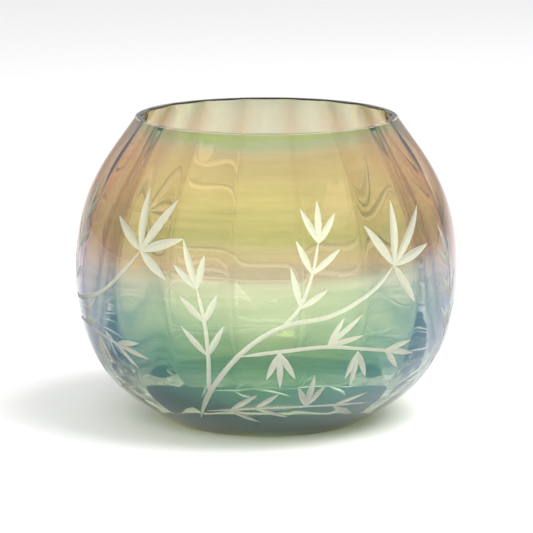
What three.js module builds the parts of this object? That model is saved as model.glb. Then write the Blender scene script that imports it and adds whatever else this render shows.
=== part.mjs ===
// Rose bowl in blown, lustred glass.
// A squat ball of glass with a wide ground mouth, a flat ground foot with a polished
// pontil hollow, and optic ribs that run down the inside of the wall.
// Millimetres, +Z up. The origin is the centre of the foot, on the table.

import * as THREE from 'three';
import { mergeVertices } from 'three/addons/utils/BufferGeometryUtils.js';

// ---- Outside shape ----
const height = 142;             // foot to rim
const bellyRadius = 89;         // outside, at the widest place
const bellyHeight = 71;         // height of the widest place
const bellyDrop = 48;           // how far the belly keeps going straight down
const footRadius = 45;          // flat ground foot
const heelAngle = 28;           // degrees above the table at which the heel leaves the foot
const heelReach = 20;           // how far the heel keeps that direction
const mouthRadius = 60.5;       // outside edge of the rim
const shoulderLean = 33;        // degrees from upright at which the wall meets the rim
const shoulderReach = 21;       // how far the shoulder keeps that lean

// ---- Glass thickness ----
const rimWall = 3.6;            // flat width of the ground rim, at the rib crests
const bellyWall = 4.0;          // at the rib crests
const floorThickness = 9;       // at the axis, above the foot plane
const floorReach = 56;          // how far the inside floor runs out nearly level
const insideBellyDrop = 42;     // how far the inside wall goes straight down from the belly

// ---- Optic ribs inside, polished pontil hollow below ----
const ribCount = 18;
const ribDepth = 1.3;           // crest to valley
const ribTurn = 0;              // degrees; a rib crest faces the front (-Y)
const pontilRadius = 14;
const pontilDepth = 1.2;

// ---- Fineness of the facets ----
const stepsPerRib = 4;
const outsideSteps = 10;        // per half of the outside
const insideSteps = 8;          // per half of the inside
const pontilSteps = 3;

const radians = THREE.MathUtils.degToRad;

// A point of the section: x is the distance from the axis, y the height.
const at = (radius, z) => new THREE.Vector2(radius, z);

// The belly is as round above its widest place as below it: the reach of the upper
// curve follows from the lower one and from how far each end stands in from the belly.
function evenReach(drop, belly, topHandle, bottomHandle) {
  return drop * Math.sqrt((belly - topHandle) / (belly - bottomHandle));
}

// The outside, from the edge of the foot up to the outer edge of the rim.
function outsideOutline() {
  const heel = at(
    footRadius + heelReach * Math.cos(radians(heelAngle)),
    heelReach * Math.sin(radians(heelAngle)),
  );
  const shoulder = at(
    mouthRadius + shoulderReach * Math.sin(radians(shoulderLean)),
    height - shoulderReach * Math.cos(radians(shoulderLean)),
  );
  const bellyRise = evenReach(bellyDrop, bellyRadius, shoulder.x, heel.x);
  const lower = new THREE.CubicBezierCurve(
    at(footRadius, 0), heel, at(bellyRadius, bellyHeight - bellyDrop), at(bellyRadius, bellyHeight),
  );
  const upper = new THREE.CubicBezierCurve(
    at(bellyRadius, bellyHeight), at(bellyRadius, bellyHeight + bellyRise), shoulder, at(mouthRadius, height),
  );
  return [...lower.getPoints(outsideSteps), ...upper.getPoints(outsideSteps).slice(1)];
}

// The inside at the rib crests, from the inner edge of the rim down to the axis.
function insideOutline() {
  const belly = bellyRadius - bellyWall;
  const mouth = mouthRadius - rimWall;
  const shoulder = at(
    mouth + shoulderReach * Math.sin(radians(shoulderLean)),
    height - shoulderReach * Math.cos(radians(shoulderLean)),
  );
  const bellyRise = evenReach(insideBellyDrop, belly, shoulder.x, floorReach);
  const upper = new THREE.CubicBezierCurve(
    at(mouth, height), shoulder, at(belly, bellyHeight + bellyRise), at(belly, bellyHeight),
  );
  const lower = new THREE.CubicBezierCurve(
    at(belly, bellyHeight), at(belly, bellyHeight - insideBellyDrop),
    at(floorReach, floorThickness), at(0, floorThickness),
  );
  return [...upper.getPoints(insideSteps), ...lower.getPoints(insideSteps).slice(1)];
}

// The underside: a shallow round hollow where the pontil was polished away, then the flat foot.
function underside() {
  const points = [];
  for (let step = 0; step < pontilSteps; step += 1) {
    const share = step / pontilSteps;
    points.push(at(pontilRadius * share, pontilDepth * (1 - share * share)));
  }
  points.push(at(pontilRadius, 0));
  return points;
}

// How far the glass between two ribs falls back from the crests, at an angle round the bowl.
// Each rib is a rounded lobe, and two lobes meet in a narrow valley.
function ribFall(angle) {
  const lobe = Math.abs(Math.cos((angle - radians(ribTurn)) * ribCount / 2));
  return ribDepth * (1 - lobe);
}

// The ribs die out over the floor, towards the axis.
function ribShare(radius) {
  return THREE.MathUtils.smoothstep(radius, floorReach / 3, floorReach);
}

function bowlGeometry() {
  const below = underside();
  const outside = outsideOutline();
  const inside = insideOutline();
  const section = [...below, ...outside, ...inside];
  const firstInside = below.length + outside.length;
  const geometry = new THREE.LatheGeometry(section, ribCount * stepsPerRib);

  // The lathe turns about Y and starts at its +Z, which becomes the front once +Z is up.
  const position = geometry.attributes.position;
  for (let i = 0; i < position.count; i += 1) {
    const row = i % section.length;
    if (row >= firstInside) {
      const x = position.getX(i);
      const z = position.getZ(i);
      const radius = Math.hypot(x, z);
      const fall = ribFall(Math.atan2(x, z)) * ribShare(radius);
      const stretch = radius > 0 ? (radius + fall) / radius : 1;
      position.setX(i, x * stretch);
      position.setZ(i, z * stretch);
    }
  }
  geometry.rotateX(Math.PI / 2);

  geometry.deleteAttribute('normal');
  geometry.deleteAttribute('uv');
  const closed = mergeVertices(geometry, 1e-4);
  closed.computeVertexNormals();
  return closed;
}

const lustredGlass = new THREE.MeshStandardMaterial({ color: 0xc9c18f, roughness: 0.06, metalness: 0.1 });

const bowl = new THREE.Mesh(bowlGeometry(), lustredGlass);
bowl.name = 'glass_bowl';

const roseBowl = new THREE.Group();
roseBowl.add(bowl);

export default roseBowl;
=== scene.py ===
# %% [markdown]
# # A rose bowl in lustred, wheel-cut glass
#
# The bowl is one piece of blown glass, so one mesh stands for the whole of it. Four things make it look
# real, and each has its own part of this lesson:
#
# 1. the blown wall, smooth outside and ribbed inside, which bends what is seen through it;
# 2. the leaves and stems, which a wheel cut into the outside as grooves with real depth;
# 3. the lustre, a coloured metallic film that lies on the outside and that the wheel took away;
# 4. the rim and the foot, which a stone ground flat after the film was on.
#
# Everything is in metres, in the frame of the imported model. The first cell loads that frame.

# %% Load the fixed frame
import math

import bmesh
import bpy
import numpy as np
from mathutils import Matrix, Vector


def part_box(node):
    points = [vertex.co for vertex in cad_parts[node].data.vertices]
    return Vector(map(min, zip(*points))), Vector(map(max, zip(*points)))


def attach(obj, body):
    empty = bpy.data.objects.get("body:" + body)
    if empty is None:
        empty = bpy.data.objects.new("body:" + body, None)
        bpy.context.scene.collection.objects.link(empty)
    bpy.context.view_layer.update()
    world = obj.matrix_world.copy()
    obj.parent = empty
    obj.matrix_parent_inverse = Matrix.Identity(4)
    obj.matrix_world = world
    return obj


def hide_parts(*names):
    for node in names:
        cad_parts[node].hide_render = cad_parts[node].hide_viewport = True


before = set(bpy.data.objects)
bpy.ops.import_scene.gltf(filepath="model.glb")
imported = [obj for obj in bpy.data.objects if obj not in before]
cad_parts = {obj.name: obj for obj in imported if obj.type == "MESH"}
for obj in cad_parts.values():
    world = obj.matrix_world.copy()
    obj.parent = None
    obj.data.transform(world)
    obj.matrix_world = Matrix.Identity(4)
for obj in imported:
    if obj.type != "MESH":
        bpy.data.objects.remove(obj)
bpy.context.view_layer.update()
MM = 0.001
print("The frame holds", sorted(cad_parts), "on the body root.")

# %% [markdown]
# ## The camera
#
# The bowl is looked at from a little above its rim, from about a metre and a half away, through a long
# lens. A long lens keeps the ball round. The camera comes first, because every finish below is judged
# through it.

# %% Place the camera
bowl_low, bowl_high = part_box("glass_bowl")
height = bowl_high.z
belly_radius = bowl_high.x
camera_distance = 1.5
camera_rise = math.radians(10.94)
aim = Vector((0.0, 0.0, height / 2 - 0.35 * MM))

camera = bpy.data.objects.new("camera", bpy.data.cameras.new("camera"))
camera.data.lens = 217.0
camera.data.clip_start = 0.05
camera.data.clip_end = 40.0
camera.location = aim + camera_distance * Vector((0.0, -math.cos(camera_rise), math.sin(camera_rise)))
camera.rotation_mode = "QUATERNION"
camera.rotation_quaternion = (aim - camera.location).to_track_quat("-Z", "Y")
bpy.context.scene.collection.objects.link(camera)
bpy.context.scene.camera = camera
print(f"The bowl is {2000 * belly_radius:.0f} mm wide and {1000 * height:.0f} mm tall.")

# %% [markdown]
# ## Helpers for node trees
#
# Shader trees and geometry trees are built the same way: add a node, set its plain values, wire it up.
# These few helpers keep the later cells short. `maths` takes numbers or sockets, so a formula can be
# written almost as it is spoken.

# %% Small helpers for both kinds of tree
def add(tree, kind, inputs=None, **settings):
    """Adds a node. settings are its own options; inputs are values or sockets, by name or by number."""
    node = tree.nodes.new(kind)
    for name, value in settings.items():
        setattr(node, name, value)
    for key, value in (inputs or {}).items():
        feed(tree, node.inputs[key], value)
    return node


def feed(tree, socket, value):
    """Gives a socket a plain value, or wires another socket into it."""
    if isinstance(value, bpy.types.NodeSocket):
        tree.links.new(value, socket)
    else:
        socket.default_value = value


def maths(tree, operation, *values):
    """One Math node; its values are numbers or sockets."""
    node = add(tree, "ShaderNodeMath", operation=operation)
    for socket, value in zip(node.inputs, values):
        feed(tree, socket, value)
    return node.outputs[0]


def new_tree(kind, name, inputs, outputs):
    """An empty node group with named inputs and outputs, and its input and output nodes."""
    tree = bpy.data.node_groups.new(name, kind)
    for in_out, sockets in (("INPUT", inputs), ("OUTPUT", outputs)):
        for label, socket_kind in sockets:
            tree.interface.new_socket(name=label, in_out=in_out, socket_type=socket_kind)
    return tree, tree.nodes.new("NodeGroupInput").outputs, tree.nodes.new("NodeGroupOutput").inputs


print("Helpers are ready.")

# %% [markdown]
# ## The section of the wall
#
# A glassblower turns the bowl round its axis, so its shape is one line, the section, swept round a
# circle. The outside is two Bezier curves that meet at the belly: one up from the ground foot, one in
# over the shoulder to the mouth. They are equally round where they meet, so no highlight breaks there.
# The inside has curves of its own, because the glass is thin at the rim and thick in the heel.
#
# The line is made of points with two notes on each: which zone of the glass it bounds, and how much of
# the optic ribs it carries. Corners that a stone ground (rim and foot) keep a fine eased edge.

# %% Draw the section
foot_radius = 45 * MM
heel_angle = math.radians(28)
heel_reach = 20 * MM
belly_height = 71 * MM
belly_drop = 48 * MM
mouth_radius = 60.5 * MM
shoulder_lean = math.radians(33)
shoulder_reach = 21 * MM
rim_wall = 3.6 * MM
belly_wall = 4.0 * MM
floor_thickness = 9 * MM
floor_reach = 56 * MM
inside_belly_drop = 42 * MM
pontil_radius = 14 * MM
pontil_depth = 1.2 * MM
eased_edge = 0.35 * MM
RIB_COUNT = 18

FOOT, SKIN, RIM, INSIDE = range(4)


def bezier(start, first_handle, second_handle, end, steps):
    """Points along one cubic Bezier curve."""
    t = np.linspace(0, 1, steps + 1)[:, None]
    pulls = [np.array(p, float) for p in (start, first_handle, second_handle, end)]
    return ((1 - t) ** 3 * pulls[0] + 3 * (1 - t) ** 2 * t * pulls[1]
            + 3 * (1 - t) * t ** 2 * pulls[2] + t ** 3 * pulls[3])


def even_reach(drop, belly, top_handle, bottom_handle):
    """How far the upper curve runs straight up, so that it is as round at the belly as the lower one."""
    return drop * math.sqrt((belly - top_handle) / (belly - bottom_handle))


def outside_line(steps):
    """The skin from the edge of the foot to the outer edge of the rim."""
    heel = (foot_radius + heel_reach * math.cos(heel_angle), heel_reach * math.sin(heel_angle))
    shoulder = (mouth_radius + shoulder_reach * math.sin(shoulder_lean),
                height - shoulder_reach * math.cos(shoulder_lean))
    rise = even_reach(belly_drop, belly_radius, shoulder[0], heel[0])
    belly = (belly_radius, belly_height)
    lower = bezier((foot_radius, 0), heel, (belly_radius, belly_height - belly_drop), belly, steps)
    upper = bezier(belly, (belly_radius, belly_height + rise), shoulder, (mouth_radius, height), steps)
    return np.vstack([lower, upper[1:]])


def inside_line(steps):
    """The inner wall at the rib crests, from the inner edge of the rim to the axis."""
    mouth, belly = mouth_radius - rim_wall, belly_radius - belly_wall
    shoulder = (mouth + shoulder_reach * math.sin(shoulder_lean),
                height - shoulder_reach * math.cos(shoulder_lean))
    rise = even_reach(inside_belly_drop, belly, shoulder[0], floor_reach)
    upper = bezier((mouth, height), shoulder, (belly, belly_height + rise), (belly, belly_height), steps)
    lower = bezier((belly, belly_height), (belly, belly_height - inside_belly_drop),
                   (floor_reach, floor_thickness), (0, floor_thickness), steps)
    return np.vstack([upper, lower[1:]])


def underside_line(steps):
    """From the axis out over the polished pontil hollow and the flat foot."""
    hollow = np.linspace(0, pontil_radius, steps + 1)
    dip = pontil_depth * (1 - (hollow / pontil_radius) ** 2) ** 2
    flat = np.linspace(pontil_radius, foot_radius, steps)[1:]
    return np.vstack([np.column_stack([hollow, dip]), np.column_stack([flat, 0 * flat])])


def ease(line, at_start, at_end):
    """Stops a line short of a ground corner by the width of the eased edge."""
    for wanted, here, towards in ((at_start, 0, 1), (at_end, -1, -2)):
        if wanted:
            away = line[towards] - line[here]
            line[here] += away / np.linalg.norm(away) * eased_edge
    return line


underside = ease(underside_line(8), False, True)
outside = ease(outside_line(28), True, True)
inside = ease(inside_line(26), True, False)
rim_flat = np.array([(mouth_radius - eased_edge, height), (mouth_radius - rim_wall + eased_edge, height)])
print(f"The section has {len(underside) + len(outside) + len(rim_flat) + len(inside)} points.")

# %% [markdown]
# ## Finishes: what light does in this glass
#
# The glass itself is a pale olive green. Its outside was fumed with metal salts while hot, which left a
# film that shifts from gold at the shoulder through peach and lilac to sage and teal at the heel. A
# painter could fake that with opaque colour, but the real film is clear: it stains the light that goes
# through and gives a tinted mirror on top. So every finish is glass with a stain, and the skin also has
# a share of metal for the mirror.
#
# The group below lays out the film's colours. It reads the object's own height, warped by noise that is
# stretched sideways, because the bowl was turned in the fumes and the bands run round it. It gives two
# colours for every height: one for glass that faces the eye, and a darker one for glass seen edge on. That
# one is partly the film's deeper colour, where light takes a long way through the film, and partly painted
# shade and reflection: dark amber streaks above, blue below.

# %% A group for the lustre: bands of colour that run round the bowl
def ramp(tree, factor, stops, mode="B_SPLINE"):
    """A colour ramp from (place, colour) pairs."""
    node = add(tree, "ShaderNodeValToRGB", {"Fac": factor})
    node.color_ramp.interpolation = mode
    elements = node.color_ramp.elements
    while len(elements) < len(stops):
        elements.new(1.0)
    for element, (place, colour) in zip(elements, stops):
        element.position = place
        element.color = (*colour, 1.0)
    return node.outputs["Color"]


def object_place(tree):
    """The object's own coordinates, split in three."""
    place = add(tree, "ShaderNodeTexCoord").outputs["Object"]
    return place, add(tree, "ShaderNodeSeparateXYZ", {0: place}).outputs


def banded_noise(tree, place, scale, flatness, detail):
    """Noise stretched sideways into streaks: flatness says how many times."""
    squeeze = add(tree, "ShaderNodeMapping", {"Vector": place, "Scale": (1.0, 1.0, flatness)})
    return add(tree, "ShaderNodeTexNoise", {
        "Vector": squeeze.outputs[0], "Scale": scale, "Detail": detail, "Roughness": 0.55,
    }).outputs[0]


LUSTRE_STOPS = [
    (0.000, (0.94, 0.98, 0.34)),   # clear green heel, where the film thins out over the foot
    (0.030, (0.55, 0.80, 0.42)),   # teal
    (0.080, (0.90, 1.00, 0.52)),
    (0.190, (0.76, 0.90, 0.50)),
    (0.280, (0.28, 0.34, 0.22)),   # sage
    (0.400, (0.33, 0.37, 0.28)),
    (0.500, (0.40, 0.41, 0.32)),
    (0.560, (0.56, 0.46, 0.44)),   # lilac grey
    (0.620, (0.70, 0.46, 0.34)),   # peach
    (0.690, (0.42, 0.36, 0.13)),   # olive gold
    (0.800, (0.72, 0.50, 0.20)),   # gold
    (0.910, (0.88, 0.56, 0.26)),   # rose gold
    (0.955, (0.82, 0.58, 0.40)),   # the rim's last bands: lilac, cyan, then yellow green
    (0.978, (0.54, 0.62, 0.46)),
    (1.000, (0.50, 0.60, 0.24)),
]
# Edge-on colours: partly the film's deeper colour over a longer way, partly painted shade and reflection.
EDGE_STOPS = [
    (0.00, (0.76, 0.82, 0.34)),   # clear green at the foot
    (0.08, (0.30, 0.46, 0.30)),   # teal
    (0.18, (0.04, 0.13, 0.17)),
    (0.42, (0.01, 0.05, 0.14)),   # blue
    (0.54, (0.22, 0.08, 0.14)),   # violet
    (0.64, (0.56, 0.20, 0.04)),   # amber
    (0.88, (0.52, 0.20, 0.05)),
    (1.00, (0.24, 0.20, 0.04)),   # olive brown at the rim
]


def lustre_group():
    """Film colour by height, face on and edge on (partly painted shade), with wandering band edges and fine
    streaks.
    """
    tree, given, made = new_tree(
        "ShaderNodeTree", "lustre",
        [("Height", "NodeSocketFloat"), ("Wander", "NodeSocketFloat"), ("Streaks", "NodeSocketFloat")],
        [("Colour", "NodeSocketColor"), ("Edge Colour", "NodeSocketColor"), ("Streak", "NodeSocketFloat")],
    )
    place, (x, y, z) = object_place(tree)
    level = maths(tree, "DIVIDE", z, given["Height"])
    slow = maths(tree, "SUBTRACT", banded_noise(tree, place, 8.0, 3.0, 3.0), 0.5)
    fine = maths(tree, "SUBTRACT", banded_noise(tree, place, 22.0, 14.0, 5.0), 0.5)
    both = maths(tree, "MULTIPLY_ADD", fine, 0.8, slow)
    warped = maths(tree, "MULTIPLY_ADD", both, given["Wander"], level)
    feed(tree, made["Colour"], ramp(tree, warped, LUSTRE_STOPS, "LINEAR"))
    feed(tree, made["Edge Colour"], ramp(tree, warped, EDGE_STOPS, "LINEAR"))
    feed(tree, made["Streak"], maths(tree, "MULTIPLY_ADD", fine, given["Streaks"], 1.0))
    return tree


lustre = lustre_group()
print("The lustre has", len(LUSTRE_STOPS), "bands.")

# %% [markdown]
# ## The five finishes
#
# Each finish keeps its Principled shader in the material itself, and only colours and roughness come
# from groups. The index of refraction is that of soda glass.
#
# - The skin carries the film. The film's colour shows from outside. Through the mouth, the far wall is
#   seen from its inner side and looks bare, so the stain there is that of plain glass. Seen edge on, both
#   sides turn to the edge colour: painted shade, partly the film's deeper colour.
# - The inner glass is smooth and bare, with painted shade in the edge colour where it is seen edge on
#   and along the valleys between the ribs.
# - The rim is ground and greyish. The foot is frosted, with a ring of painted shade, dark blue, round
#   the pontil mark.
# - The cuts are pale and matte, with painted shade where they are seen edge on.

# %% Make the finishes
GLASS_IOR = 1.5
FILM_IOR = 1.8
FILM_THICKNESS = 375.0             # nanometres, the same all over; the stain carries the bands
SKIN_MIRROR = 0.14                 # the share of the light that the film throws back as a metal does
EDGE_POWER = 1.4                   # how late the painted edge shade comes in as the glass turns away
BARE_GLASS = (0.86, 0.86, 0.68)
CUT_CLEARNESS = 0.6
CUT_SHADE = (0.05, 0.07, 0.06)     # painted shade on the far side of a cut, seen edge on
FOOT_CLEARNESS = 0.35
RING_WOBBLE = 0.12                 # how far the ring of painted shade under the foot strays, over the foot's radius
INNER_STOPS = [
    (0.0, (0.82, 0.90, 0.56)),
    (0.3, (0.84, 0.86, 0.62)),
    (1.0, (0.78, 0.76, 0.46)),
]
FOOT_STOPS = [
    (0.00, (0.62, 0.80, 0.50)),
    (0.48, (0.58, 0.78, 0.48)),
    (0.56, (0.03, 0.10, 0.16)),   # the ring of painted shade round the pontil mark
    (0.62, (0.03, 0.10, 0.16)),
    (0.70, (0.62, 0.80, 0.48)),
    (0.90, (0.66, 0.82, 0.46)),
    (1.00, (0.84, 0.88, 0.36)),   # lime edge
]


def glass_finish(name, roughness, metallic=0.0):
    """A clear Principled glass; its stain is wired in afterwards."""
    material = bpy.data.materials.new(name)
    material.use_nodes = True
    tree = material.node_tree
    shader = tree.nodes["Principled BSDF"]
    shader.inputs["Transmission Weight"].default_value = 1.0
    shader.inputs["IOR"].default_value = GLASS_IOR
    shader.inputs["Roughness"].default_value = roughness
    shader.inputs["Metallic"].default_value = metallic
    return material, tree, shader


def add_lustre(tree, wander, streaks):
    """Places the lustre group in a material."""
    film = add(tree, "ShaderNodeGroup", {}, node_tree=lustre)
    for name, value in (("Height", height), ("Wander", wander), ("Streaks", streaks)):
        feed(tree, film.inputs[name], value)
    return film.outputs


def mix_colours(tree, share, first, second):
    """One colour mixed into another."""
    node = add(tree, "ShaderNodeMix", {"Factor": share}, data_type="RGBA")
    feed(tree, node.inputs[6], first)
    feed(tree, node.inputs[7], second)
    return node.outputs[2]


def low_angle(tree, power, share):
    """Nought where the glass faces the eye, rising to the share where it is seen edge on."""
    facing = add(tree, "ShaderNodeLayerWeight", {"Blend": 0.5}).outputs["Facing"]
    return maths(tree, "MULTIPLY", maths(tree, "POWER", facing, power), share)


def painted_edge_shade(tree, stain, edge_colour, share):
    """A stain that turns to an edge colour where the glass is seen edge on: painted shade, for the film
    partly its deeper colour.
    """
    return mix_colours(tree, low_angle(tree, EDGE_POWER, share), stain, edge_colour)


def rib_valleys(tree, x, y, narrowness):
    """One along the valleys between the ribs, and nought on their crests."""
    turn = maths(tree, "ARCTAN2", x, maths(tree, "MULTIPLY", y, -1.0))
    crest = maths(tree, "ABSOLUTE", maths(tree, "COSINE", maths(tree, "MULTIPLY", turn, RIB_COUNT / 2)))
    return maths(tree, "POWER", maths(tree, "SUBTRACT", 1.0, crest), narrowness)


def lustred_skin():
    """The film colours what is seen from outside; from inside, the glass behind it looks bare."""
    material, tree, shader = glass_finish("lustred_skin", 0.03, SKIN_MIRROR)
    film = add_lustre(tree, 0.13, 0.35)
    tint = add(tree, "ShaderNodeVectorMath", {0: film["Colour"], "Scale": film["Streak"]},
               operation="SCALE").outputs[0]
    # Painted shade and reflection, partly the film's deeper colour: both sides turn to the edge colour edge
    # on.
    outside_colour = painted_edge_shade(tree, tint, film["Edge Colour"], 0.95)
    from_inside = add(tree, "ShaderNodeNewGeometry").outputs["Backfacing"]
    inside_colour = painted_edge_shade(tree, (*BARE_GLASS, 1.0), film["Edge Colour"], 0.6)
    feed(tree, shader.inputs["Base Color"], mix_colours(tree, from_inside, outside_colour, inside_colour))
    shader.inputs["Thin Film Thickness"].default_value = FILM_THICKNESS
    shader.inputs["Thin Film IOR"].default_value = FILM_IOR
    return material


def inner_glass():
    """Bare and smooth, with painted shade in the film's edge colour where seen edge on and along the
    valleys.
    """
    material, tree, shader = glass_finish("inner_glass", 0.0)
    film = add_lustre(tree, 0.13, 0.35)
    place, (x, y, z) = object_place(tree)
    level = maths(tree, "DIVIDE", z, height)
    # Painted shade: the inner glass's own stain turns to the edge colour where it is seen edge on.
    stain = painted_edge_shade(tree, ramp(tree, level, INNER_STOPS), film["Edge Colour"], 0.95)
    # Painted shade: dark streaks along the valleys between the ribs, strongest where they are seen edge on.
    valley_shade = maths(tree, "MULTIPLY", rib_valleys(tree, x, y, 0.8), low_angle(tree, 0.9, 1.6))
    feed(tree, shader.inputs["Base Color"],
         mix_colours(tree, maths(tree, "MINIMUM", valley_shade, 1.0), stain, film["Edge Colour"]))
    return material


def ground_rim():
    """Ground flat and left a little rough; the film beside it greys it."""
    material, tree, shader = glass_finish("ground_rim", 0.12)
    place, (x, y, z) = object_place(tree)
    grain = add(tree, "ShaderNodeTexNoise", {"Vector": place, "Scale": 900.0, "Detail": 3.0}).outputs[0]
    feed(tree, shader.inputs["Roughness"], maths(tree, "MULTIPLY_ADD", grain, 0.2, 0.05))
    feed(tree, shader.inputs["Base Color"],
         ramp(tree, grain, [(0.3, (0.72, 0.64, 0.58)), (0.7, (0.90, 0.84, 0.78))]))
    return material


def ground_foot():
    """Frosted, with a ring of painted shade, dark blue, round the pontil mark."""
    material, tree, shader = glass_finish("ground_foot", 0.4)
    shader.inputs["Transmission Weight"].default_value = FOOT_CLEARNESS
    place, (x, y, z) = object_place(tree)
    radius = maths(tree, "SQRT", maths(tree, "MULTIPLY_ADD", x, x, maths(tree, "MULTIPLY", y, y)))
    unevenness = maths(tree, "SUBTRACT", banded_noise(tree, place, 40.0, 1.0, 3.0), 0.5)
    wobble = maths(tree, "MULTIPLY", unevenness, RING_WOBBLE)
    reach = maths(tree, "MULTIPLY_ADD", radius, 1 / foot_radius, wobble)
    feed(tree, shader.inputs["Base Color"], ramp(tree, reach, FOOT_STOPS, "EASE"))
    return material


def cut_glass():
    """Left as the stone cut it: pale and matte from outside, and a clear rough pane from within."""
    material, tree, matte = glass_finish("wheel_cut", 0.45)
    matte.inputs["Transmission Weight"].default_value = CUT_CLEARNESS
    place, (x, y, z) = object_place(tree)
    grain = add(tree, "ShaderNodeTexNoise", {"Vector": place, "Scale": 1400.0, "Detail": 2.0}).outputs[0]
    feed(tree, matte.inputs["Roughness"], maths(tree, "MULTIPLY_ADD", grain, 0.3, 0.30))
    bloom = ramp(tree, grain, [(0.2, (0.74, 0.76, 0.62)), (0.8, (0.88, 0.90, 0.76))])
    # Painted shade: the side of a cut that is seen edge on turns dark.
    feed(tree, matte.inputs["Base Color"], painted_edge_shade(tree, bloom, (*CUT_SHADE, 1.0), 0.9))
    pane = add(tree, "ShaderNodeBsdfPrincipled", {
        "Base Color": (1.0, 1.0, 0.94, 1.0), "Roughness": 0.3, "IOR": GLASS_IOR, "Transmission Weight": 1.0,
    })
    from_within = add(tree, "ShaderNodeNewGeometry").outputs["Backfacing"]
    both = add(tree, "ShaderNodeMixShader", {0: from_within, 1: matte.outputs[0], 2: pane.outputs[0]})
    feed(tree, tree.nodes["Material Output"].inputs["Surface"], both.outputs[0])
    return material


skin_finish, inner_finish, cut_finish = lustred_skin(), inner_glass(), cut_glass()
rim_finish, foot_finish = ground_rim(), ground_foot()
print("Finishes:", ", ".join(material.name for material in bpy.data.materials))

# %% [markdown]
# ## Turn the section into the blown wall
#
# A lathe or Screw modifier would turn the section, but would know nothing of the ribs. In the real
# bowl they come from a ribbed optic mould: thick rounded lobes inside, meeting in narrow valleys. A
# Geometry Nodes tree follows the same rule. It rolls up a flat grid with one row for each point of the
# section, and lets the inner rows fall back between the ribs. Its inputs are the sizes a maker would
# ask for: how many ribs, how deep, how soft their valleys.

# %% A geometry tree that turns the section and moulds the ribs
RIB_DEPTH = 1.3 * MM
VALLEY_SOFTNESS = 0.10
STEPS_PER_RIB = 20


def sampled(tree, section, kind, field, index):
    """Reads a value of the section at one of its points."""
    node = add(tree, "GeometryNodeSampleIndex", data_type=kind, domain="POINT")
    feed(tree, node.inputs["Geometry"], section)
    feed(tree, node.inputs["Value"], field)
    feed(tree, node.inputs["Index"], index)
    return node.outputs[0]


def named(tree, name):
    """A number stored on the geometry under this name."""
    return add(tree, "GeometryNodeInputNamedAttribute", {"Name": name}, data_type="FLOAT").outputs[0]


def blowing_tree():
    tree, given, made = new_tree(
        "GeometryNodeTree", "blow_and_mould",
        [("Section", "NodeSocketGeometry"), ("Ribs", "NodeSocketInt"), ("Rib Depth", "NodeSocketFloat"),
         ("Valley Softness", "NodeSocketFloat"), ("Steps Around", "NodeSocketInt")],
        [("Wall", "NodeSocketGeometry")],
    )
    section = given["Section"]
    rows = add(tree, "GeometryNodeAttributeDomainSize", {"Geometry": section}, component="MESH")
    rows = rows.outputs["Point Count"]
    columns = maths(tree, "ADD", given["Steps Around"], 1)
    grid = add(tree, "GeometryNodeMeshGrid", {"Vertices X": columns, "Vertices Y": rows})
    index = add(tree, "GeometryNodeInputIndex").outputs[0]
    row = maths(tree, "MODULO", index, rows)
    column = maths(tree, "FLOOR", maths(tree, "DIVIDE", maths(tree, "ADD", index, 0.5), rows))
    angle = maths(tree, "DIVIDE", maths(tree, "MULTIPLY", column, math.tau), given["Steps Around"])

    position = add(tree, "GeometryNodeInputPosition").outputs[0]
    place = sampled(tree, section, "FLOAT_VECTOR", position, row)
    radius, _, level = add(tree, "ShaderNodeSeparateXYZ", {0: place}).outputs
    share = sampled(tree, section, "FLOAT", named(tree, "rib_share"), row)
    zone = sampled(tree, section, "FLOAT", named(tree, "zone"), row)

    half_turns = maths(tree, "MULTIPLY", maths(tree, "MULTIPLY", angle, given["Ribs"]), 0.5)
    wave = maths(tree, "COSINE", half_turns)
    soft = given["Valley Softness"]
    lobe = maths(tree, "SQRT", maths(tree, "ADD", maths(tree, "MULTIPLY", wave, wave),
                                     maths(tree, "MULTIPLY", soft, soft)))
    fall = maths(tree, "MULTIPLY", maths(tree, "SUBTRACT", 1.0, lobe), given["Rib Depth"])
    moulded = maths(tree, "MULTIPLY_ADD", maths(tree, "MAXIMUM", fall, 0.0), share, radius)
    rolled = add(tree, "ShaderNodeCombineXYZ", {
        "X": maths(tree, "MULTIPLY", moulded, maths(tree, "SINE", angle)),
        "Y": maths(tree, "MULTIPLY", moulded, maths(tree, "MULTIPLY", maths(tree, "COSINE", angle), -1.0)),
        "Z": level,
    })
    noted = add(tree, "GeometryNodeStoreNamedAttribute", {
        "Geometry": grid.outputs["Mesh"], "Name": "zone_here", "Value": zone,
    }, data_type="FLOAT", domain="POINT")
    wall = add(tree, "GeometryNodeSetPosition",
               {"Geometry": noted.outputs[0], "Position": rolled.outputs[0]}).outputs[0]
    wall = add(tree, "GeometryNodeSetMaterial", {"Geometry": wall, "Material": rim_finish}).outputs[0]
    for number, finish, reach in ((FOOT, foot_finish, 0.7), (SKIN, skin_finish, 0.3),
                                  (INSIDE, inner_finish, 0.3)):
        here = maths(tree, "COMPARE", named(tree, "zone_here"), number, reach)
        wall = add(tree, "GeometryNodeSetMaterial",
                   {"Geometry": wall, "Selection": here, "Material": finish}).outputs[0]
    closed = add(tree, "GeometryNodeMergeByDistance", {"Geometry": wall, "Distance": 1e-6})
    feed(tree, made["Wall"], closed.outputs[0])
    return tree


blowing = blowing_tree()
print("The blowing tree has", len(blowing.nodes), "nodes.")

# %% Run the tree on the section
def set_inputs(modifier, **values):
    """Sets a modifier's inputs by their names, through the identifiers that Blender gave them."""
    for item in modifier.node_group.interface.items_tree:
        key = item.name.replace(" ", "_")
        if item.in_out == "INPUT" and key in values:
            modifier[item.identifier] = values.pop(key)
    assert not values, f"no such inputs: {sorted(values)}"


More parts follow.
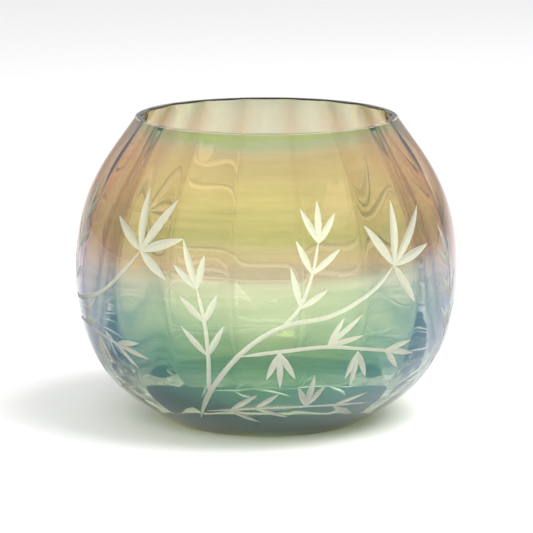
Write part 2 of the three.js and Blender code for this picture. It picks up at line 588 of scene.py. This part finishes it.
def section_mesh():
    """The section as a row of points, with its notes stored on them."""
    parts = [(underside, FOOT), (outside, SKIN), (rim_flat, RIM), (inside, INSIDE)]
    points, zones, shares = [], [], []
    for line, zone in parts:
        for radius, level in line:
            points.append((max(radius, 0.0), 0.0, level))
            zones.append(float(zone))
            carried = np.clip((radius - floor_reach / 3) / (floor_reach * 2 / 3), 0, 1)
            ribbed = zone == INSIDE or (zone == RIM and radius < mouth_radius - rim_wall / 2)
            shares.append(float(carried ** 2 * (3 - 2 * carried)) if ribbed else 0.0)
    mesh = bpy.data.meshes.new("section")
    mesh.from_pydata(points, [(i, i + 1) for i in range(len(points) - 1)], [])
    mesh.attributes.new("zone", "FLOAT", "POINT").data.foreach_set("value", zones)
    mesh.attributes.new("rib_share", "FLOAT", "POINT").data.foreach_set("value", shares)
    return mesh


def run_tree(name, mesh, tree, **values):
    """Runs a geometry tree on a mesh and returns the plain mesh that it makes."""
    carrier = bpy.data.objects.new(name, mesh)
    bpy.context.scene.collection.objects.link(carrier)
    modifier = carrier.modifiers.new("tree", "NODES")
    modifier.node_group = tree
    set_inputs(modifier, **values)
    graph = bpy.context.evaluated_depsgraph_get()
    result = bpy.data.meshes.new_from_object(carrier.evaluated_get(graph), depsgraph=graph)
    bpy.data.objects.remove(carrier)
    return result


wall_mesh = run_tree("wall_blank", section_mesh(), blowing, Ribs=RIB_COUNT, Rib_Depth=RIB_DEPTH,
                     Valley_Softness=VALLEY_SOFTNESS, Steps_Around=RIB_COUNT * STEPS_PER_RIB)
print(f"The blown wall has {len(wall_mesh.vertices)} vertices and {len(wall_mesh.polygons)} faces.")

# %% [markdown]
# ## The engraver's pattern
#
# The cutter worked four sprays of bamboo round the bowl. One is drawn here, as a cutter would mark it
# out: how far round (degrees from the front) and how far up the glass (millimetres over the skin from
# the edge of the foot). Stems are lines of such marks. A whorl is one place that leaves spring from,
# with the places where their tips end. The same marks are turned a quarter round for the next spray,
# and the one at the left has a longer main stem with a star of leaves of its own.

# %% Mark out one spray
SPRAYS = 4
STEMS = [
    # width in mm, then marks (degrees round, mm up the skin)
    (1.5, [(4.5, 78), (9.5, 87), (13.2, 101.5), (15.5, 116)]),
    (1.7, [(-8, 64), (4, 66.6), (18, 68), (32, 64.8), (42, 61.8), (51.3, 58.5)]),
    (1.6, [(-22.5, 30), (-4, 34), (14, 34.8), (30, 33.6), (41.5, 32)]),
    (1.9, [(-19, 43), (-17.5, 62), (-18, 79.5), (-20.2, 94.5)]),
]
MAIN_STEM = [(-27, 23), (-17.5, 46.5), (-6.5, 67), (5, 78.5), (19, 82.5), (32, 92), (40, 102)]
LONG_MAIN_STEM = [(-27, 23), (-17.5, 46.5), (-6.5, 67), (6, 77), (20, 80), (34, 87), (43.5, 98),
                  (50, 108.5)]
WHORLS = [
    # where the leaves spring from, their width in mm, then each tip
    ((9.9, 86.5), 3.0, [(7, 104.5), (17.7, 94.2)]),
    ((13.2, 101.5), 3.1, [(8.8, 116.4), (22, 112)]),
    ((15.5, 115), 3.2, [(10.6, 130.8), (16.3, 134.2), (21.6, 128)]),
    ((18, 68.2), 2.8, [(22.8, 81), (28.7, 81.8), (29.4, 72)]),
    ((3.8, 66), 3.0, [(0, 52.4), (4.3, 47.7), (8.9, 52.5)]),
    ((28.1, 64.6), 3.0, [(25.3, 50.8), (27.8, 45.8), (32.7, 50.4)]),
    ((38, 63.3), 2.9, [(48.6, 65.6), (51.5, 58.5), (45.6, 52.4)]),
    ((-13.5, 31.8), 3.0, [(-3.2, 43), (-2.4, 21.4)]),
    ((-4.2, 34), 3.0, [(4.1, 43.8), (8.3, 26.3)]),
    ((13.8, 35), 3.1, [(10.2, 47.9), (15, 54), (19.1, 48.2)]),
    ((24, 34), 2.9, [(36.2, 40.2), (35, 24)]),
    ((-17.6, 63.5), 3.0, [(-25.3, 76.9), (-12.4, 78)]),
    ((-18, 79.5), 3.2, [(-25.7, 90.9), (-14.2, 92.2)]),
    ((-20.2, 94.2), 3.4, [(-27.7, 104.2), (-18.4, 109.4), (-25.4, 115.8)]),
]
STAR = ((40, 102), 4.6, [(31, 121.4), (43.4, 131.2), (55.3, 126.3), (56, 108.5), (48.7, 83.4)])
LONG_STAR = ((50, 108.7), 4.7, [(38, 122.2), (48, 137.2), (60.5, 133.4), (64.5, 116), (59.8, 97.2)])

skin_steps = np.vstack([[0, 0], np.diff(outside, axis=0)])
skin_climb = np.cumsum(np.hypot(*skin_steps.T)) / MM
skin_slope = np.gradient(outside, skin_climb * MM, axis=0)


def on_skin(turn, climb):
    """The point of the skin at these marks, and the direction straight out of the glass there."""
    radius, level = (np.interp(climb, skin_climb, outside[:, i]) for i in (0, 1))
    run, rise = (np.interp(climb, skin_climb, skin_slope[:, i]) for i in (0, 1))
    angle = np.radians(turn)
    length = np.hypot(run, rise)
    point = np.column_stack([radius * np.sin(angle), -radius * np.cos(angle), level])
    out = np.column_stack([rise * np.sin(angle), -rise * np.cos(angle), -run]) / length[:, None]
    return point, out


print(f"From foot to rim it is {skin_climb[-1]:.0f} mm over the skin.")

# %% [markdown]
# ## Wheel cuts from the marks
#
# A wheel with a mitred edge leaves a groove like a V: the deeper it goes, the wider the cut. Each cut is
# therefore one line on the skin with a width along it. A leaf starts and ends at nothing and is widest
# just before its middle. A stem keeps its width and runs out at its ends.

# %% Turn the marks into cut lines
CUT_STEP = 1.1   # mm between the points of a cut line
THIN_END = 0.15  # mm; a cut never quite reaches no width, so that it always bites


def smooth_through(marks, steps):
    """A smooth line through the marks (Catmull-Rom)."""
    marks = np.array(marks, float)
    padded = np.vstack([2 * marks[0] - marks[1], marks, 2 * marks[-1] - marks[-2]])
    t = np.linspace(0, len(marks) - 1, steps)
    i = np.clip(t.astype(int), 0, len(marks) - 2)
    f = (t - i)[:, None]
    a, b, c, d = (padded[i + k] for k in range(4))
    return 0.5 * (2 * b + (c - a) * f + (2 * a - 5 * b + 4 * c - d) * f ** 2
                  + (3 * b - a - 3 * c + d) * f ** 3)


def steps_for(marks):
    """How many points a line through these marks needs."""
    marks = np.array(marks, float)
    point, _ = on_skin(marks[:, 0], marks[:, 1])
    length = np.linalg.norm(np.diff(point, axis=0), axis=1).sum() / MM
    return max(8, round(length / CUT_STEP))


def leaf_cut(base, tip, width):
    """One leaf: pointed at both ends, a little fuller towards its base."""
    steps = steps_for([base, tip])
    along = np.linspace(0, 1, steps)
    marks = np.array(base) + along[:, None] * (np.array(tip) - np.array(base))
    half = width / 2 * np.sin(np.pi * along ** 0.9) ** 0.8
    return marks, np.maximum(half, THIN_END)


def stem_cut(marks, width, run_in=0.1, run_out=0.12):
    """One stem: even, with a taper at both ends."""
    steps = steps_for(marks)
    along = np.linspace(0, 1, steps)
    taper = np.minimum(np.clip(along / run_in, 0, 1), np.clip((1 - along) / run_out, 0, 1))
    half = width / 2 * (0.25 + 0.75 * taper) * (1.15 - 0.3 * along)
    return smooth_through(marks, steps), half


def spray_cuts(turn, main_stem, star):
    """Every cut of one spray, turned round the bowl."""
    cuts = [stem_cut(main_stem, 2.2), *(stem_cut(marks, width) for width, marks in STEMS)]
    for base, width, tips in [*WHORLS, star]:
        cuts += [leaf_cut(base, tip, width) for tip in tips]
    return [(marks + (turn, 0), half) for marks, half in cuts]


cuts = []
for spray in range(SPRAYS):
    is_left = spray == SPRAYS - 1
    cuts += spray_cuts(spray * 360 / SPRAYS, LONG_MAIN_STEM if is_left else MAIN_STEM,
                       LONG_STAR if is_left else STAR)
print(f"The pattern has {len(cuts)} cuts.")

# %% [markdown]
# ## Sweep the wheel along every line and cut the glass
#
# The cut lines become one mesh of loose lines that carries the width and the direction out of the
# glass. A tree sweeps the wheel's edge along them (Curve to Mesh), and a Mesh Boolean takes each swept
# cut out of the wall. The cuts reach the boolean as separate instances, because leaves cross the stems
# they spring from. Curve to Mesh scales the wheel's edge with the width, which is how a mitred wheel
# behaves.

# %% A geometry tree for the wheel cuts
MITRE = 0.30         # depth of a cut over its half width
BLUNT = 0.22         # how much of the wheel's edge is worn round, over the half width
ABOVE_SKIN = 0.35    # how far the wheel stands out of the glass, over the half width


def cut_line_mesh():
    """All cut lines as loose edges, with half width and outward direction stored on their points."""
    points, outs, widths, edges = [], [], [], []
    for marks, half in cuts:
        start = len(widths)
        point, out = on_skin(marks[:, 0], marks[:, 1])
        points.append(point)
        outs.append(out)
        widths += list(half * MM)
        edges += [(start + i, start + i + 1) for i in range(len(half) - 1)]
    mesh = bpy.data.meshes.new("cut_lines")
    mesh.from_pydata(np.vstack(points).tolist(), edges, [])
    mesh.attributes.new("half_width", "FLOAT", "POINT").data.foreach_set("value", widths)
    out = mesh.attributes.new("out", "FLOAT_VECTOR", "POINT")
    out.data.foreach_set("vector", np.vstack(outs).ravel())
    return mesh


def wheel_edge():
    """Outline of the wheel's edge, a blunt mitre, with x out of the glass and y across the cut."""
    top = 1 + ABOVE_SKIN / MITRE
    deepest = -MITRE * (1 - BLUNT)
    outline = [(ABOVE_SKIN, top), (deepest, BLUNT), (deepest - MITRE * BLUNT / 2, 0.0),
               (deepest, -BLUNT), (ABOVE_SKIN, -top)]
    mesh = bpy.data.meshes.new("wheel_edge")
    loop = [(i, (i + 1) % len(outline)) for i in range(len(outline))]
    mesh.from_pydata([(x, y, 0.0) for x, y in outline], loop, [])
    return bpy.data.objects.new("wheel_edge", mesh)


def cutting_tree():
    tree, given, made = new_tree(
        "GeometryNodeTree", "wheel_cutting",
        [("Lines", "NodeSocketGeometry"), ("Wall", "NodeSocketObject"), ("Wheel", "NodeSocketObject"),
         ("Finish", "NodeSocketMaterial")],
        [("Glass", "NodeSocketGeometry")],
    )
    def shape_of(which):
        return add(tree, "GeometryNodeObjectInfo", {"Object": given[which]}).outputs["Geometry"]

    lines = add(tree, "GeometryNodeMeshToCurve", {"Mesh": given["Lines"]}).outputs[0]
    out = add(tree, "GeometryNodeInputNamedAttribute", {"Name": "out"}, data_type="FLOAT_VECTOR").outputs[0]
    lines = add(tree, "GeometryNodeSetCurveNormal", {"Curve": lines, "Normal": out}, mode="FREE").outputs[0]
    edge = add(tree, "GeometryNodeMeshToCurve", {"Mesh": shape_of("Wheel")}).outputs[0]
    swept = add(tree, "GeometryNodeCurveToMesh", {
        "Curve": lines, "Profile Curve": edge, "Scale": named(tree, "half_width"), "Fill Caps": True,
    }).outputs[0]
    swept = add(tree, "GeometryNodeSetMaterial",
                {"Geometry": swept, "Material": given["Finish"]}).outputs[0]
    island = add(tree, "GeometryNodeInputMeshIsland").outputs["Island Index"]
    apart = add(tree, "GeometryNodeSplitToInstances", {"Geometry": swept, "Group ID": island},
                domain="POINT")
    cut = add(tree, "GeometryNodeMeshBoolean", {"Mesh 1": shape_of("Wall"), "Mesh 2": apart.outputs[0]},
              operation="DIFFERENCE", solver="MANIFOLD")
    whole = add(tree, "GeometryNodeRealizeInstances", {"Geometry": cut.outputs["Mesh"]}).outputs[0]
    feed(tree, made["Glass"], whole)
    return tree


wall_object = bpy.data.objects.new("wall", wall_mesh)
wheel_object = wheel_edge()
for helper in (wall_object, wheel_object):
    bpy.context.scene.collection.objects.link(helper)
cutting = cutting_tree()
glass_mesh = run_tree("cut_lines", cut_line_mesh(), cutting, Wall=wall_object, Wheel=wheel_object,
                      Finish=cut_finish)
for helper in (wall_object, wheel_object):
    bpy.data.objects.remove(helper)


def glass_volume(mesh):
    """Volume of a closed mesh; it also fails on a mesh that is open or in more than one piece."""
    solid = bmesh.new()
    solid.from_mesh(mesh)
    assert all(edge.is_manifold for edge in solid.edges), "the glass has an open or a doubled edge"
    assert len(solid.verts) - len(solid.edges) + len(solid.faces) == 2, "a cut went through the wall"
    volume = solid.calc_volume(signed=True)
    solid.free()
    return volume


blown, engraved = glass_volume(wall_mesh), glass_volume(glass_mesh)
assert engraved < blown, "the wheel added glass"
deepest_cut = max(np.max(half) for _, half in cuts) * MITRE * (1 - BLUNT / 2)
print(f"The wheel took {1e6 * (blown - engraved):.1f} ml of {1e6 * blown:.0f} ml, at most "
      f"{deepest_cut:.1f} mm deep. The bowl has {len(glass_mesh.polygons)} faces.")

# %% [markdown]
# ## One clean mesh with true normals
#
# A boolean leaves long thin triangles beside each cut. On polished glass their averaged normals would
# show as creases in every reflection. The skin's true direction is known from the section, so it is
# given to every corner of the skin. The edges of a cut stay crisp, because two finishes meet there, and
# so do the valleys inside it.

# %% Finish the mesh
CRISP_ANGLE = math.radians(21)


def drop_empty_finishes(mesh):
    """Takes out material slots that no face uses."""
    index = np.empty(len(mesh.polygons), np.int32)
    mesh.polygons.foreach_get("material_index", index)
    used = np.unique(index)
    kept = [mesh.materials[i] for i in used]
    mesh.materials.clear()
    for finish in kept:
        mesh.materials.append(finish)
    mesh.polygons.foreach_set("material_index", np.searchsorted(used, index).astype(np.int32))


def crisp_edges(mesh):
    """Marks edges sharp where two finishes meet and where the glass turns sharply."""
    mesh.polygons.foreach_set("use_smooth", np.ones(len(mesh.polygons), bool))
    mesh.set_sharp_from_angle(angle=CRISP_ANGLE)
    index = np.empty(len(mesh.polygons), np.int32)
    mesh.polygons.foreach_get("material_index", index)
    corner_edge = np.empty(len(mesh.loops), np.int32)
    mesh.loops.foreach_get("edge_index", corner_edge)
    totals = np.empty(len(mesh.polygons), np.int32)
    mesh.polygons.foreach_get("loop_total", totals)
    finish_of_corner = np.repeat(index, totals)
    low = np.full(len(mesh.edges), 99)
    high = np.full(len(mesh.edges), -1)
    np.minimum.at(low, corner_edge, finish_of_corner)
    np.maximum.at(high, corner_edge, finish_of_corner)
    sharp = np.empty(len(mesh.edges), bool)
    mesh.edges.foreach_get("use_edge_sharp", sharp)
    mesh.edges.foreach_set("use_edge_sharp", sharp | (low != high))
    return finish_of_corner


def true_normals(mesh, skin_finish):
    """Gives each corner of the skin the direction that its section says."""
    finish_of_corner = crisp_edges(mesh)
    normals = np.empty(len(mesh.loops) * 3, np.float32)
    mesh.corner_normals.foreach_get("vector", normals)
    normals = normals.reshape(-1, 3)
    place = np.empty(len(mesh.vertices) * 3, np.float32)
    mesh.vertices.foreach_get("co", place)
    corner_vertex = np.empty(len(mesh.loops), np.int32)
    mesh.loops.foreach_get("vertex_index", corner_vertex)
    at_skin = finish_of_corner == list(mesh.materials).index(skin_finish)
    x, y, z = place.reshape(-1, 3)[corner_vertex[at_skin]].T
    climb = np.interp(z, outside[:, 1], skin_climb)
    _, out = on_skin(np.degrees(np.arctan2(x, -y)), climb)
    normals[at_skin] = out
    mesh.normals_split_custom_set(normals)
    return int(at_skin.sum())


drop_empty_finishes(glass_mesh)
glass_mesh.name = "rose_bowl"
print(f"{true_normals(glass_mesh, skin_finish)} corners of the skin have their true normals.")

# %% Hand the bowl to the frame
bowl = bpy.data.objects.new("rose_bowl", glass_mesh)
bpy.context.scene.collection.objects.link(bowl)
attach(bowl, "root")
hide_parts("glass_bowl")
print("rose_bowl stands for glass_bowl, with finishes", [finish.name for finish in glass_mesh.materials])

# %% [markdown]
# ## The table and the light
#
# Glass has no look of its own: it shows the room. The room is a plain pale table that runs far back and
# a bright even surround, with a soft broad light high at the right and in front, which throws the shadow
# to the left and back.
#
# In thick ribbed glass, light is thrown to and fro many times before it gets out. The usual number of
# bounces ends it early, which leaves grey streaks along the ribs and a dull dark heel, so it is raised.
#
# The two large lamps light the table and the cuts, but can't be seen in or through the glass. So no
# coloured light from them falls through the bowl on to the table, and the shadow stays plain.

# %% Table, lamps and surround
TABLE_REACH = 6.0
THROUGH_GLASS = 28  # how often light may pass a surface
INSIDE_GLASS = 9    # how often it may be mirrored on the way; more makes the ribs paler


def pale_table():
    mesh = bpy.data.meshes.new("table")
    corners = [(x * TABLE_REACH, y * TABLE_REACH, 0.0) for x, y in ((-1, -1), (1, -1), (1, 1), (-1, 1))]
    mesh.from_pydata(corners, [], [(0, 1, 2, 3)])
    table = bpy.data.objects.new("table", mesh)
    material = bpy.data.materials.new("pale_table")
    material.use_nodes = True
    shader = material.node_tree.nodes["Principled BSDF"]
    shader.inputs["Base Color"].default_value = (0.92, 0.92, 0.92, 1.0)
    shader.inputs["Roughness"].default_value = 0.7
    mesh.materials.append(material)
    bpy.context.scene.collection.objects.link(table)


def soft_light(name, place, size, power, mirrored):
    """A lamp that faces the bowl. One that isn't mirrored can't be seen in or through the glass."""
    lamp = bpy.data.objects.new(name, bpy.data.lights.new(name, "AREA"))
    lamp.data.shape = "RECTANGLE"
    lamp.data.size, lamp.data.size_y = size
    lamp.data.energy = power
    lamp.location = place
    lamp.rotation_mode = "QUATERNION"
    lamp.rotation_quaternion = (aim - lamp.location).to_track_quat("-Z", "Y")
    lamp.visible_glossy = lamp.visible_transmission = mirrored
    bpy.context.scene.collection.objects.link(lamp)


def surround(overhead, level):
    """An even room that is brightest overhead and greyer towards its walls."""
    world = bpy.data.worlds.new("surround")
    world.use_nodes = True
    tree = world.node_tree
    way = add(tree, "ShaderNodeSeparateXYZ", {0: add(tree, "ShaderNodeTexCoord").outputs["Generated"]})
    between = (level + overhead) / 2
    grey = ramp(tree, way.outputs["Z"],
                [(0.0, (level,) * 3), (0.35, (between,) * 3), (0.8, (overhead,) * 3)], "EASE")
    feed(tree, tree.nodes["Background"].inputs["Color"], grey)
    bpy.context.scene.world = world


pale_table()
soft_light("key", Vector((0.8, -0.35, 1.4)), (1.1, 1.1), 28.0, mirrored=False)
soft_light("fill", Vector((-0.5, -1.4, 0.9)), (1.0, 1.0), 12.0, mirrored=False)
soft_light("window", Vector((-0.17, -0.47, 1.31)), (0.22, 0.24), 0.5, mirrored=True)
surround(0.86, 0.5)
bpy.context.scene.view_settings.view_transform = "Standard"
light_paths = bpy.context.scene.cycles
light_paths.max_bounces = THROUGH_GLASS
light_paths.transmission_bounces = THROUGH_GLASS
light_paths.glossy_bounces = INSIDE_GLASS
print("Table, key light and surround are in place.")
